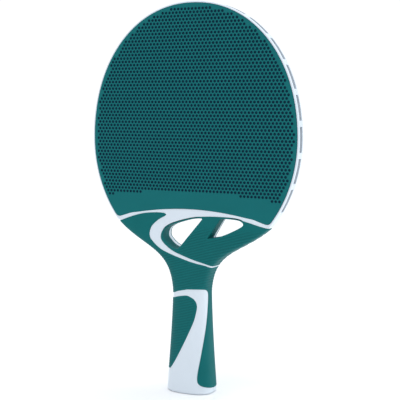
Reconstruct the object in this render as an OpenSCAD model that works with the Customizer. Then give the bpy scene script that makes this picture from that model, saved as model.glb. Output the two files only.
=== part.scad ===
// Outdoor table tennis bat: a white two-half core with soft playing faces and moulded-on grips.
// It stands on its butt: +Z runs to the tip of the blade, the front face looks along -Y.
// The origin is the middle of the butt face. The rear mirrors the front through y = 0, except that its
// windows are bare and the panel along the handle reaches further round it.

/* [Overall] */
// Length from the butt to the tip of the blade
bat_length = 260; // [240:1:275]
// Greatest width of the blade, over its rim
blade_w = 153.6; // [135:0.2:170]

/* [Blade] */
// Height of the blade above its widest line
crown_h = 90; // [80:0.5:96]
// Half-height of the ellipse that the lower half of the blade follows
chin_h = 83.9; // [79:0.1:92]
// How square the upper half of the blade is, 2 for an ellipse
crown_power = 2.1; // [2:0.05:2.6]
// Thickness of the rim
rim_t = 7.4; // [7:0.1:9]
// Chamfer along both edges of the rim
rim_chamfer = 0.6; // [0.3:0.1:1]
// Thickness of a playing pad
pad_t = 1.4; // [1:0.1:1.7]
// How far a pad stands proud of the rim
pad_proud = 0.3; // [0.1:0.05:0.6]
// Width of rim left showing around a pad
pad_margin = 1.1; // [0.8:0.1:2]
// Radius of the arc along a pad's lower edge
pad_arc_r = 209; // [180:1:260]
// Radius at a pad's two lower corners
pad_corner_r = 4; // [2:0.5:6]
// Height of a pad's lower edge above the wing corners, at its middle
band_rise = 9.6; // [8:0.2:14]

/* [Rim slots] */
// Number of slots along each side of the rim
slot_count = 9; // [5:1:10]
// Solid bridge between two slots
slot_gap = 4; // [3:0.5:6]
// Height of a slot across the rim
slot_h = 3.8; // [2.4:0.2:4.4]
// Depth of a slot
slot_depth = 2.6; // [0.8:0.1:3]
// Plain rim between the wing corner and the first slot
slot_start = 13; // [8:0.5:20]

/* [Throat] */
// Drop from the widest line of the blade to the corners where the wings run into the rim
wing_drop = 56.5; // [50:0.5:62]
// Height of the throat, from the neck up to the wing corners
throat_h = 45.5; // [38:0.5:52]
// Thickness of the body where the wings run into the rim
wing_t = 9; // [8:0.1:11]
// How square the cross-section is at the wings
wing_power = 7; // [4:0.5:8]
// Reach of the hollow curve that flares out of the neck
flare_low = 28.5; // [24:0.5:32]
// Reach of the full curve that runs into the wing corner
flare_high = 28; // [22:0.5:30]
// Spread of the wings per unit of height at their corner
wing_slope = 1.15; // [0.9:0.05:1.3]
// How late the throat thins towards the wings, 1 for an even taper
thin_power = 1.8; // [1:0.1:2.4]
// Height over which the thick throat fades into the blade
fade_h = 10; // [8:0.5:14]
// Thickness of soft lining round the mouth of a window
window_lining = 1.2; // [0.8:0.1:1.6]
// How far behind the middle plane that lining ends
lining_end = 2.6; // [1:0.1:3]

/* [Handle] */
// Width at the neck
neck_w = 25.4; // [22:0.2:30]
// Thickness at the neck
neck_t = 19; // [16:0.2:23]
// Width at the butt
butt_w = 33.2; // [29:0.2:39]
// Thickness at the butt
butt_t = 24.5; // [21:0.5:29]
// How late the handle swells towards the butt, 1 for an even taper
swell_power = 1.4; // [1:0.1:2]
// How square the cross-section of the handle is
handle_power = 2.7; // [2.2:0.1:3.5]
// Wall of the hollow handle
handle_wall = 3.2; // [2.6:0.1:4]
// Thickness of the closed butt end
butt_wall = 4; // [3:0.5:6]
// Height of the hollow above the neck
hollow_over = 13.6; // [8:0.2:18]
// Number of cross webs in the hollow handle
web_count = 3; // [1:1:5]
// Thickness of a cross web
web_t = 1.6; // [1.2:0.1:2.4]

/* [Grips] */
// Depth that a soft grip is let into the core
grip_bed = 0.85; // [0.6:0.05:1.2]
// How far a soft grip stands proud of the core
grip_proud = 0.35; // [0.2:0.05:0.6]
// Height above the neck at which the collar passes into the fin
collar_h = 8.2; // [7:0.2:10]
// Radius at the sharp corners of the windows and the fin
edge_round = 1; // [0.4:0.1:1.4]
// Radius at the inner corners of the panel along the handle
panel_round = 3; // [1:0.5:4]
// How much further that panel reaches round the rear, seen square on to the corner of the handle
panel_wrap = 3.4; // [0:0.2:5]

/* [Hidden] */
core_colour = "#e4ebf0";
pad_colour = "#17605f";
grip_colour = "#1a6868";

// Worked-out sizes
widest_z = bat_length - crown_h;
half_w = blade_w / 2;
wing_z = widest_z - wing_drop;
wing_half = rim_half(wing_z);
neck_z = wing_z - throat_h;
band_z = wing_z + band_rise;
collar_cut_z = neck_z + collar_h;
hollow_h = neck_z + hollow_over - butt_wall;

// Far enough to run past the bat sideways and in depth
reach = bat_length;
deep = butt_w;

// Overlap of regions that are joined
lap = 1;

// Fineness of the curves
section_n = 32;
handle_steps = 4;
flare_steps = 7;
fade_steps = 2;
rim_steps = 44;
knot_steps = 3;
arc_n = 180;

// Half-width of the blade at height z: an ellipse below the widest line, a squarer oval above it
function rim_half(z) = z < widest_z
    ? half_w * sqrt(max(0, 1 - pow((widest_z - z) / chin_h, 2)))
    : half_w * pow(max(0, 1 - pow((z - widest_z) / crown_h, crown_power)), 1 / crown_power);

// A point of the right-hand rim, t = 0 at the wing corner and 1 at the tip
function rim_point(t) = let(
    low = asin((wing_z - widest_z) / chin_h),
    a = low + (90 - low) * t)
    a < 0 ? [half_w * cos(a), widest_z + chin_h * sin(a)]
          : [half_w * pow(cos(a), 2 / crown_power), widest_z + crown_h * pow(sin(a), 2 / crown_power)];

right_rim = [for (i = [0 : rim_steps]) rim_point(i / rim_steps)];
left_rim = [for (i = [rim_steps - 1 : -1 : 0]) [-right_rim[i].x, right_rim[i].y]];

// Length along the rim from the wing corner to each of its points
rim_run = [for (i = 0, s = 0; i <= rim_steps; i = i + 1,
    s = i > rim_steps ? s : s + norm(right_rim[i] - right_rim[i - 1])) [s, i]];
rim_length = rim_run[rim_steps][0];
slot_pitch = (rim_length - slot_start + slot_gap / 2) / slot_count;
slot_l = slot_pitch - slot_gap;

// Point and direction of the rim at a given length along it
function rim_at(s) = rim_point(lookup(s, rim_run) / rim_steps);
function rim_angle(s) = let(d = rim_at(s + 1) - rim_at(s - 1)) atan2(d.y, d.x);

// Point at t on a cubic Bezier curve
function bezier(p, t) = pow(1 - t, 3) * p[0] + 3 * t * pow(1 - t, 2) * p[1]
    + 3 * t * t * (1 - t) * p[2] + pow(t, 3) * p[3];

// Side line of the throat as [z, half-width], which ends a little inside the edge of the rim
wing_dir = [1, wing_slope] / norm([1, wing_slope]);
flare = [
    [neck_z, neck_w / 2],
    [neck_z + flare_low, neck_w / 2],
    [wing_z, wing_half - rim_chamfer / 2] - flare_high * wing_dir,
    [wing_z, wing_half - rim_chamfer / 2]];

// How far the handle has swelled from the neck to the butt, and the throat has opened and thinned
function swell(z) = pow(max(0, 1 - z / neck_z), swell_power);
function opened(z) = min(1, max(0, (z - neck_z) / throat_h));
function faded(z) = min(1, max(0, (z - wing_z) / fade_h));

// Thickness and squareness of the body at height z
function half_thick(z) = z < neck_z
    ? neck_t / 2 + (butt_t - neck_t) / 2 * swell(z)
    : neck_t / 2 - (neck_t - wing_t) / 2 * pow(opened(z), thin_power) - (wing_t - rim_t) / 2 * faded(z);
function power(z) = handle_power + (wing_power - handle_power) * opened(z);

// Cross-sections of the body as [z, half-width], from the butt up into the blade
sections = concat(
    [for (i = [0 : handle_steps - 1]) let(z = neck_z * i / handle_steps)
        [z, neck_w / 2 + (butt_w - neck_w) / 2 * swell(z)]],
    [for (i = [0 : flare_steps]) bezier(flare, i / flare_steps)],
    [for (i = [1 : fade_steps]) let(z = wing_z + fade_h * i / fade_steps) [z, rim_half(z) - rim_chamfer]]);

// One cross-section, a superellipse grown by d all round
function section(s, d) = let(
    a = s[1] + d,
    b = half_thick(s[0]) + d,
    e = 2 / power(s[0]))
    [for (i = [0 : section_n - 1]) let(c = cos(360 * i / section_n), v = sin(360 * i / section_n))
        [a * sign(c) * pow(abs(c), e), b * sign(v) * pow(abs(v), e), s[0]]];

// Handle and throat as a skin over the first cross-sections, grown by d, or shrunk if d is negative
module body(d, bays = len(sections) - 1) {
    for (i = [0 : bays - 1])
        hull() polyhedron(
            points = concat(section(sections[i], d), section(sections[i + 1], d)),
            faces = [[for (k = [0 : 2 * section_n - 1]) k]]);
}

// Smooth line through knots, which are scaled to a width and a height above a base
function spline(k) = let(n = len(k) - 1) concat(
    [for (i = [0 : n - 1], j = [0 : knot_steps - 1]) let(
        t = j / knot_steps,
        a = k[max(0, i - 1)], b = k[i], c = k[i + 1], d = k[min(n, i + 2)])
        0.5 * (2 * b + t * (c - a) + t * t * (2 * a - 5 * b + 4 * c - d)
            + pow(t, 3) * (3 * b - 3 * c + d - a))],
    [k[n]]);
function scaled(k, w, base, h) = [for (p = k) [p.x * w, base + p.y * h]];
function in_throat(k) = scaled(k, wing_half, neck_z, throat_h);
function in_handle(k) = scaled(k, butt_w / 2, 0, neck_z);

// Edge of the soft throat island: over the windows from the right, round the left, out at the right
throat_edge = spline(in_throat([
    [1.06, 0.98], [0.92, 1.015], [0.76, 1.065], [0.62, 1.10], [0.44, 1.125], [0.17, 1.115], [-0.04, 1.07],
    [-0.26, 0.98], [-0.35, 0.89], [-0.375, 0.80], [-0.35, 0.725], [-0.27, 0.645], [-0.16, 0.575],
    [0.06, 0.49], [0.24, 0.435], [0.34, 0.385], [0.60, 0.25]]));

// Edge of the fin and the neck: along the top of the left wing, round its tip, down to the right
fin_top = spline(in_throat([[-1.06, 0.95], [-0.965, 0.985], [-0.79, 1.065], [-0.62, 1.12], [-0.44, 1.142]]));
fin_back = spline(in_throat([
    [-0.35, 1.138], [-0.32, 1.12], [-0.335, 1.095], [-0.39, 1.06], [-0.45, 1.01], [-0.51, 0.93],
    [-0.53, 0.84], [-0.525, 0.79], [-0.495, 0.73], [-0.38, 0.62], [-0.225, 0.545], [0, 0.467],
    [0.13, 0.433], [0.24, 0.41], [0.33, 0.362], [0.60, 0.22]]));

// Windows: straight along the strut between them, curved along the island's edge
left_window = spline(in_throat([
    [0.165, 1.085], [0.09, 1.082], [-0.03, 1.053], [-0.16, 1.007], [-0.265, 0.957], [-0.33, 0.893],
    [-0.348, 0.80], [-0.325, 0.745], [-0.26, 0.67], [-0.18, 0.625], [-0.125, 0.628]]));
right_window = spline(in_throat([
    [0.245, 0.80], [0.37, 0.828], [0.505, 0.892], [0.65, 0.985], [0.69, 1.035], [0.64, 1.083],
    [0.52, 1.098], [0.40, 1.098]]));

// Edge of the collar left of the middle, then the edge seen square on to the front right corner
collar_left = spline(in_handle([[0, 1.028], [-0.37, 1.007], [-0.73, 0.978], [-1.8, 0.93]]));
collar_right = in_handle([[-0.9, 1.015], [-0.45, 1.028], [-0.24, 1.037], [0.21, 1.037], [0.47, 1.03]]);
panel_edge = spline(in_handle([[0.465, 0.93], [0.438, 0.855], [0.39, 0.75], [0.325, 0.65], [0.25, 0.555],
    [0.165, 0.455], [0.08, 0.35], [-0.007, 0.247], [-0.055, 0.17], [-0.066, 0.10]]));
panel_foot = spline(in_handle([[0.21, 0.078], [0.45, 0.066], [0.73, 0.054], [1.8, 0.05]]));

// Edge of the palm grip, from the left over the top and down to its point
palm_edge = spline(in_handle([[-1.8, 0.88], [-0.72, 0.931], [-0.38, 0.954], [0, 0.971], [0.17, 0.963],
    [0.33, 0.943], [0.43, 0.915], [0.475, 0.88], [0.475, 0.845], [0.44, 0.794], [0.38, 0.732], [0.255, 0.654],
    [-0.03, 0.504], [-0.33, 0.363], [-0.50, 0.294], [-0.637, 0.247], [-0.81, 0.223], [-1.8, 0.18]]));

// Flat outlines. That of the rim dips a little way into the throat between the wing corners
module rim_outline() {
    dip_x = wing_half - 3 * lap;
    polygon(concat(right_rim, left_rim, [[-dip_x, wing_z - lap], [dip_x, wing_z - lap]]));
}
module pad_outline() {
    offset(pad_corner_r) offset(-pad_corner_r) difference() {
        offset(-pad_margin) polygon(concat([[0, 0]], right_rim, left_rim));
        translate([0, band_z - pad_arc_r]) circle(pad_arc_r, $fn = arc_n);
    }
}
module window_outlines(grow = 0) {
    offset(grow) for (w = [left_window, right_window]) offset(edge_round) offset(-edge_round) polygon(w);
}
module throat_outline() {
    polygon(throat_edge);
}
module fin_outline() {
    offset(edge_round) offset(-edge_round) polygon(concat(
        fin_top, fin_back,
        [[reach, fin_back[len(fin_back) - 1].y], [reach, collar_cut_z - lap], [-reach, collar_cut_z - lap],
            [-reach, fin_top[0].y]]));
}
module collar_left_outline() {
    polygon(concat(collar_left, [[-reach, collar_left[len(collar_left) - 1].y], [-reach, collar_cut_z],
        [0, collar_cut_z]]));
}
module panel_outline() {
    offset(-panel_round) offset(2 * panel_round) offset(-panel_round) polygon(concat(
        [[-reach, collar_right[0].y]], collar_right, panel_edge, panel_foot,
        [[reach, panel_foot[len(panel_foot) - 1].y], [reach, 2 * reach], [-reach, 2 * reach]]));
}

// Stands a flat outline up so that it runs right through the bat from front to rear
module upright(half_depth = deep) {
    rotate([90, 0, 0]) linear_extrude(2 * half_depth, center = true) children();
}
module both_faces() {
    children();
    mirror([0, 1, 0]) children();
}
module box(x0, x1, y0, y1, z0, z1) {
    translate([x0, y0, z0]) cube([x1 - x0, y1 - y0, z1 - z0]);
}

// Regions that the soft grips cover
module neck_region() {
    upright() fin_outline();
    intersection() {
        upright() collar_left_outline();
        box(-reach, 0, -deep, deep, 0, collar_cut_z);
    }
    for (rear = [0, 1])
        mirror([0, rear, 0]) intersection() {
            rotate([0, 0, 45]) translate([-rear * panel_wrap, 0, 0]) upright(reach) panel_outline();
            box(0, reach, -deep, 0, 0, collar_cut_z);
        }
}
module palm_region() {
    upright() polygon(palm_edge);
}

// Rings round the windows from the front, which the soft lining fills
module lining_region() {
    translate([0, lining_end - deep, 0]) upright() window_outlines(window_lining);
}

// A soft grip: a skin over the core inside its region
module grip_skin() {
    difference() {
        intersection() {
            body(grip_proud);
            children();
        }
        body(-grip_bed);
    }
}

// Slots in the rim, cut from its edge towards the middle of the blade
module rim_slots() {
    for (side = [-1, 1], i = [0 : slot_count - 1]) {
        s = slot_start + i * slot_pitch + slot_l / 2;
        scale([side, 1, 1]) translate([rim_at(s).x, 0, rim_at(s).y]) rotate([0, -rim_angle(s), 0])
            box(-slot_l / 2, slot_l / 2, -slot_h / 2, slot_h / 2, -slot_depth, slot_depth);
    }
}

// Rim and blade of the core with chamfered edges
module blade_core() {
    hull() {
        upright(rim_t / 2 - rim_chamfer) rim_outline();
        upright(rim_t / 2) offset(-rim_chamfer) rim_outline();
    }
}

// Hollow of the handle between its cross webs
module handle_cavity() {
    bay = (hollow_h - web_count * web_t) / (web_count + 1);
    intersection() {
        body(-handle_wall, handle_steps + flare_steps);
        for (i = [0 : web_count]) {
            floor_z = butt_wall + i * (bay + web_t);
            box(-reach, reach, -deep, deep, floor_z, floor_z + bay);
        }
    }
}

// The whole core, both halves in one, with beds for the grips and the pads
module core() {
    difference() {
        union() {
            body(0);
            blade_core();
        }
        difference() {
            union() {
                upright() throat_outline();
                neck_region();
                palm_region();
            }
            body(-grip_bed);
        }
        upright() window_outlines();
        lining_region();
        both_faces() translate([0, -(deep + rim_t / 2 + pad_proud - pad_t), 0]) upright() pad_outline();
        rim_slots();
        handle_cavity();
    }
}
module front_of_middle() {
    box(-reach, reach, -deep, 0, -reach, 2 * reach);
}

module front_shell() {
    color(core_colour) intersection() {
        core();
        front_of_middle();
    }
}
module rear_shell() {
    color(core_colour) difference() {
        core();
        front_of_middle();
    }
}
module front_pad() {
    color(pad_colour) translate([0, -(rim_t / 2 + pad_proud - pad_t / 2), 0])
        upright(pad_t / 2) pad_outline();
}
module rear_pad() {
    color(pad_colour) mirror([0, 1, 0]) front_pad();
}
module throat_grip() {
    color(grip_colour) difference() {
        intersection() {
            body(grip_proud);
            upright() throat_outline();
        }
        difference() {
            body(-grip_bed);
            lining_region();
        }
        upright() window_outlines();
    }
}
module neck_grip() {
    color(grip_colour) grip_skin() neck_region();
}
module palm_grip() {
    color(grip_colour) grip_skin() palm_region();
}

front_shell();
rear_shell();
front_pad();
rear_pad();
throat_grip();
neck_grip();
palm_grip();
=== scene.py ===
import math

import bpy
import numpy as np
from mathutils import Matrix, Vector


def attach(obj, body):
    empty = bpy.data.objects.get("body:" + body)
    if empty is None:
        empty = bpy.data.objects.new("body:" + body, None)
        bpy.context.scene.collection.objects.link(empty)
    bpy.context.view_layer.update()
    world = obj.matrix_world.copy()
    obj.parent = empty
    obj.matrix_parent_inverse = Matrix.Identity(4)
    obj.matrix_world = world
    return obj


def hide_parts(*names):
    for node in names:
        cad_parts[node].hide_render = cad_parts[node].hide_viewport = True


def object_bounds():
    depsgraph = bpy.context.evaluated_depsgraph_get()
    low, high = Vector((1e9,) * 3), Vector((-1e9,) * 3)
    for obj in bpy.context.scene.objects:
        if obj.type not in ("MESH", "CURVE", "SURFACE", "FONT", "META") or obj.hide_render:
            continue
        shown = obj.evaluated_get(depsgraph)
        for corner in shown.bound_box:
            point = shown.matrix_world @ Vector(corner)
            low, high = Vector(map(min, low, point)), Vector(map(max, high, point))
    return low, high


bl_info = {
    "name": "Outdoor Table Tennis Bat",
    "version": (1, 0, 0),
    "blender": (4, 5, 0),
    "location": "View3D > Sidebar > Bat",
    "description": "Builds a moulded outdoor table tennis bat: core, dimpled pads and soft grips",
    "category": "Add Mesh",
}

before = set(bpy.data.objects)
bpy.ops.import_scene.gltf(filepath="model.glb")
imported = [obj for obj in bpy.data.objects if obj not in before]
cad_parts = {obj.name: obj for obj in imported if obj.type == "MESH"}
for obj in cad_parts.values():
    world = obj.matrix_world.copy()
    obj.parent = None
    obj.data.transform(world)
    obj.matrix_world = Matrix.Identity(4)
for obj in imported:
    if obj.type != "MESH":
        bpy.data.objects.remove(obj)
CAD_BOX = [list(corner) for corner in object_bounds()]
MM = 0.001


# Sizes and colours -------------------------------------------------------------------------------

def size(name, default_mm, description):
    """A length property, with its default given in millimetres."""
    return bpy.props.FloatProperty(
        name=name, description=description, default=default_mm * MM, min=0, precision=5, unit="LENGTH")


def share(name, default, description):
    """A plain number property."""
    return bpy.props.FloatProperty(name=name, description=description, default=default, min=0)


def colour(name, default, description):
    """A colour property."""
    return bpy.props.FloatVectorProperty(
        name=name, description=description, default=default, size=3, min=0, max=1, subtype="COLOR")


class BladeSizes(bpy.types.PropertyGroup):
    """Sizes of the blade, its rim and its two playing pads."""

    length: size("Bat length", (CAD_BOX[1][2] - CAD_BOX[0][2]) / MM, "From the butt to the tip of the blade")
    width: size("Blade width", (CAD_BOX[1][0] - CAD_BOX[0][0]) / MM, "Greatest width over the rim")
    crown: size("Crown", 90, "Height of the blade above its widest line")
    chin: size("Chin", 83.9, "Half-height of the ellipse that the lower half of the blade follows")
    crown_power: share("Crown squareness", 2.1, "How square the upper half is, 2 for an ellipse")
    rim: size("Rim thickness", 7.4, "Thickness of the rim")
    rim_edge: size("Rim edge", 0.6, "Width of the rounded edges of the rim")
    pad: size("Pad thickness", 1.4, "Thickness of a playing pad")
    pad_proud: size("Pad height", 0.3, "How far a pad stands proud of the rim")
    pad_edge: size("Pad edge", 0.35, "Radius along the edge of a pad")
    margin: size("Rim margin", 1.1, "Width of rim left showing around a pad")
    arc: size("Lower arc", 209, "Radius of the arc along a pad's lower edge")
    corner: size("Pad corner", 4, "Radius at a pad's two lower corners")
    band: size("Band", 9.6, "Height of a pad's lower edge above the wing corners, at its middle")
    dot_pitch: size("Dot pitch", 2.6, "Distance between the middles of two dots")
    dot: size("Dot width", 1.9, "Width of a dot at the face")
    dot_depth: size("Dot depth", 0.6, "Depth of a dot")
    dot_margin: size("Dot margin", 2.25, "Least distance from the middle of a dot to the edge of the pad")
    dots_low: size("Dots start", 21.5, "Height of the lowest full row of dots above the wing corners")
    dot_row: size("Dot row", 19.67, "Height of a row of dots above the widest line")
    dot_shift: size("Dot shift", 0.78, "How far left of the middle a dot of that row lies")
    slots: bpy.props.IntProperty(name="Slots", description="Slots along each side of the rim", default=9, min=1)
    slot_gap: size("Slot gap", 4, "Solid bridge between two slots")
    slot: size("Slot height", 3.8, "Height of a slot across the rim")
    slot_depth: size("Slot depth", 2.6, "Depth of a slot")
    slot_start: size("Slot start", 13, "Plain rim between the wing corner and the first slot")


class HandleSizes(bpy.types.PropertyGroup):
    """Sizes of the throat and the handle."""

    wing_drop: size("Wing drop", 56.5, "Drop from the widest line to the corners where the wings meet the rim")
    throat: size("Throat", 45.5, "Height from the neck up to the wing corners")
    wing: size("Wing thickness", 9, "Thickness where the wings run into the rim")
    wing_power: share("Wing squareness", 7, "How square the cross-section is at the wings")
    flare_low: size("Low flare", 28.5, "Reach of the hollow curve that flares out of the neck")
    flare_high: size("High flare", 28, "Reach of the full curve that runs into the wing corner")
    wing_slope: share("Wing slope", 1.15, "Spread of the wings per unit of height at their corner")
    thinning: share("Thinning", 1.8, "How late the throat thins towards the wings")
    fade: size("Fade", 10, "Height over which the thick throat fades into the blade")
    neck_width: size("Neck width", 25.4, "Width at the neck")
    neck: size("Neck thickness", 19, "Thickness at the neck")
    butt_width: size("Butt width", 33.2, "Width at the butt")
    butt: size("Butt thickness", 24.5, "Thickness at the butt")
    butt_edge: size("Butt edge", 1.6, "Radius round the butt face")
    swelling: share("Swelling", 1.4, "How late the handle swells towards the butt")
    squareness: share("Squareness", 2.7, "How square the cross-section of the handle is")


class GripSizes(bpy.types.PropertyGroup):
    """Sizes of the soft grips."""

    bed: size("Bed", 0.85, "Depth that a soft grip is let into the core")
    proud: size("Height", 0.35, "How far a soft grip stands proud of the core")
    shoulder: size("Shoulder", 0.55, "Width of the rounded shoulder along the edge of a grip")
    collar: size("Collar", 8.2, "Height above the neck at which the collar passes into the fin")
    lining: size("Lining", 1.2, "Thickness of soft lining round the mouth of a window")
    lining_end: size("Lining end", 2.6, "How far behind the middle plane that lining ends")
    window_edge: size("Window edge", 0.35, "Radius round the mouth of a window")
    wrap: size("Wrap", 3.4, "How much further the panel reaches round the rear, seen square on to its corner")
    rib_pitch: size("Rib pitch", 1.75, "Distance between two ribs")
    rib_depth: size("Rib depth", 0.24, "Depth of the grooves between ribs")


class BatColours(bpy.types.PropertyGroup):
    """Colours of the materials and the floor."""

    core: colour("Core", (0.74, 0.80, 0.86), "Hard white plastic of the core")
    pad: colour("Pad", (0.004, 0.140, 0.146), "Rubber of the playing pads")
    # painted shade: the dot colour darkens the walls and floors of the holes in the pads
    dot: colour("Dot", (0.001, 0.034, 0.066), "Shaded floor of the dots")
    grip: colour("Grip", (0.003, 0.134, 0.136), "Soft moulded grips")
    # painted shade: the groove colour darkens the grooves between the ribs of the grips
    groove: colour("Groove", (0.002, 0.094, 0.096), "Grooves between the ribs")
    floor: colour("Floor", (0.96, 0.945, 0.94), "Floor of the stage")


# Outlines, as knots scaled to the half-width and the height of the throat or of the handle ----------

THROAT_EDGE = (
    (1.06, 0.98), (0.92, 1.015), (0.76, 1.065), (0.62, 1.10), (0.44, 1.125), (0.17, 1.115), (-0.04, 1.07),
    (-0.26, 0.98), (-0.35, 0.89), (-0.375, 0.80), (-0.35, 0.725), (-0.27, 0.645), (-0.16, 0.575),
    (0.06, 0.49), (0.24, 0.435), (0.34, 0.385), (0.60, 0.25))
FIN_TOP = ((-1.06, 0.95), (-0.965, 0.985), (-0.79, 1.065), (-0.62, 1.12), (-0.44, 1.142))
FIN_BACK = (
    (-0.35, 1.138), (-0.32, 1.12), (-0.335, 1.095), (-0.39, 1.06), (-0.45, 1.01), (-0.51, 0.93),
    (-0.53, 0.84), (-0.525, 0.79), (-0.495, 0.73), (-0.38, 0.62), (-0.225, 0.545), (0, 0.467),
    (0.13, 0.433), (0.24, 0.41), (0.33, 0.362), (0.60, 0.22))
LEFT_WINDOW = (
    (0.165, 1.085), (0.09, 1.082), (-0.03, 1.053), (-0.16, 1.007), (-0.265, 0.957), (-0.33, 0.893),
    (-0.348, 0.80), (-0.325, 0.745), (-0.26, 0.67), (-0.18, 0.625), (-0.125, 0.628))
RIGHT_WINDOW = (
    (0.245, 0.80), (0.37, 0.828), (0.505, 0.892), (0.65, 0.985), (0.69, 1.035), (0.64, 1.083),
    (0.52, 1.098), (0.40, 1.098))
COLLAR_LEFT = ((0, 1.028), (-0.37, 1.007), (-0.73, 0.978), (-1.8, 0.93))
COLLAR_RIGHT = ((-0.9, 1.015), (-0.45, 1.028), (-0.24, 1.037), (0.21, 1.037), (0.47, 1.03))
PANEL_EDGE = (
    (0.465, 0.93), (0.438, 0.855), (0.39, 0.75), (0.325, 0.65), (0.25, 0.555), (0.165, 0.455),
    (0.08, 0.35), (-0.005, 0.25), (-0.055, 0.17), (-0.066, 0.10))
PANEL_FOOT = ((0.21, 0.078), (0.45, 0.066), (0.73, 0.054), (1.8, 0.05))
PALM_EDGE = (
    (-1.8, 0.88), (-0.72, 0.931), (-0.38, 0.954), (0, 0.971), (0.17, 0.963), (0.33, 0.943), (0.43, 0.915),
    (0.475, 0.88), (0.475, 0.845), (0.44, 0.794), (0.38, 0.732), (0.255, 0.654), (-0.03, 0.504),
    (-0.33, 0.363), (-0.50, 0.294), (-0.635, 0.25), (-0.81, 0.223), (-1.8, 0.18))


def smooth_line(knots, steps=8):
    """A curve through all the knots: between two of them a cubic that sets off parallel to the line
    between their neighbours."""
    k = np.asarray(knots, float)
    index = np.arange(len(k) - 1)
    t = np.linspace(0, 1, steps, endpoint=False)[None, :, None]
    a, b, c = k[np.maximum(index - 1, 0)][:, None], k[:-1][:, None], k[1:][:, None]
    d = k[np.minimum(index + 2, len(k) - 1)][:, None]
    curve = 0.5 * (2 * b + t * (c - a) + t ** 2 * (2 * a - 5 * b + 4 * c - d) + t ** 3 * (3 * b - 3 * c + d - a))
    return np.concatenate([curve.reshape(-1, 2), k[-1:]])


def eased(outline, spread, spacing=0.4 * MM):
    """A closed outline with points evenly spaced along it and its corners rounded: each point becomes the
    mean of the points around it, weighted by a bell curve of width spread."""
    loop = np.concatenate([outline, outline[:1]])
    run = np.concatenate([[0], np.cumsum(np.hypot(*np.diff(loop, axis=0).T))])
    count = int(run[-1] / spacing)
    along = np.arange(count) * run[-1] / count
    even = np.stack([np.interp(along, run, loop[:, k]) for k in (0, 1)], 1)
    away = np.minimum(np.arange(count), count - np.arange(count)) * spacing
    weight = np.exp(-0.5 * (away / spread) ** 2)
    turned = np.fft.fft(even, axis=0) * np.fft.fft(weight / weight.sum())[:, None]
    return np.fft.ifft(turned, axis=0).real


def inside_distance(x, z, outline):
    """Distance from each point to a closed outline, positive inside: the least distance to any of its sides,
    and an odd number of sides crossed on the way out to the right."""
    shape, x, z = x.shape, x.ravel(), z.ravel()
    ax, az = outline.T
    dx, dz = (np.roll(outline, -1, axis=0) - outline).T
    squared = np.maximum(dx ** 2 + dz ** 2, 1e-18)
    result = np.empty(x.size)
    for part in np.array_split(np.arange(x.size), x.size // 8192 + 1):
        px, pz = x[part][:, None] - ax, z[part][:, None] - az
        t = np.clip((px * dx + pz * dz) / squared, 0, 1)
        away = np.sqrt(((px - t * dx) ** 2 + (pz - t * dz) ** 2).min(1))
        crossed = ((pz < 0) != (pz < dz)) & (px < pz * dx / np.where(dz == 0, 1, dz))
        result[part] = np.where(crossed.sum(1) % 2 == 1, away, -away)
    return result.reshape(shape)


def smoothstep(x, low, high):
    """0 below low, 1 above high and a smooth cubic between them."""
    t = np.clip((x - low) / (high - low), 0, 1)
    return t * t * (3 - 2 * t)


# The shape of the bat ------------------------------------------------------------------------------

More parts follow.
